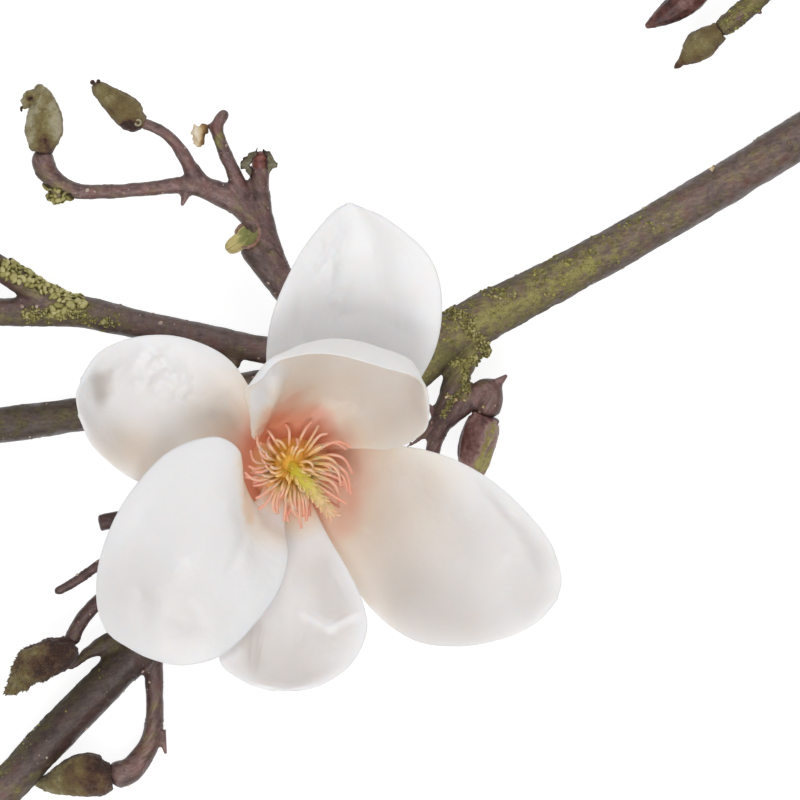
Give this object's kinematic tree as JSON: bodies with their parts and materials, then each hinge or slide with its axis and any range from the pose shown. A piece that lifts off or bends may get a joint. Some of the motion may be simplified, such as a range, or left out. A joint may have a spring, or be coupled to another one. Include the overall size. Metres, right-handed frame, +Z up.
{
  "type": "magnolia branch",
  "caption": "Cut magnolia branch lying on a surface, with a wide open white flower, coral stamens, fuzzy buds, forked twigs and lichen on the bark.",
  "frame": {"origin": "middle of the branch's bounding box, on the surface that it lies on", "axes": "+X along the length of the branch towards its thick cut end, +Y across it, +Z up from the surface, the way the flower faces"},
  "size_m": [0.3018, 0.275, 0.0659],
  "materials": {
    "bark": "rough grey-purple bark with lenticels, brown twigs and patches of olive lichen",
    "bud": "felted olive and brown bud scales, matt",
    "tepal": "thick waxy white tepal, satin, with a salmon flush at its base",
    "stamen": "smooth coral filaments, slightly glossy, yellow at the root",
    "pistil": "yellow-green carpels, satin",
    "dry_scale": "dry papery bud scale, matt"
  },
  "bodies": {
    "root": {"wood": "bark", "tepal_top": "tepal", "tepal_left": "tepal", "tepal_right": "tepal", "tepal_hood": "tepal", "tepal_lower_left": "tepal", "tepal_bottom": "tepal", "bud_upright": "bud", "bud_upper": "bud", "bud_right": "bud", "bud_left_low": "bud", "bud_low": "bud", "bud_end_low": "bud", "bud_end_high": "bud", "stamens": "stamen", "pistil": "pistil", "dry_scale": "dry_scale"}
  },
  "joints": []
}
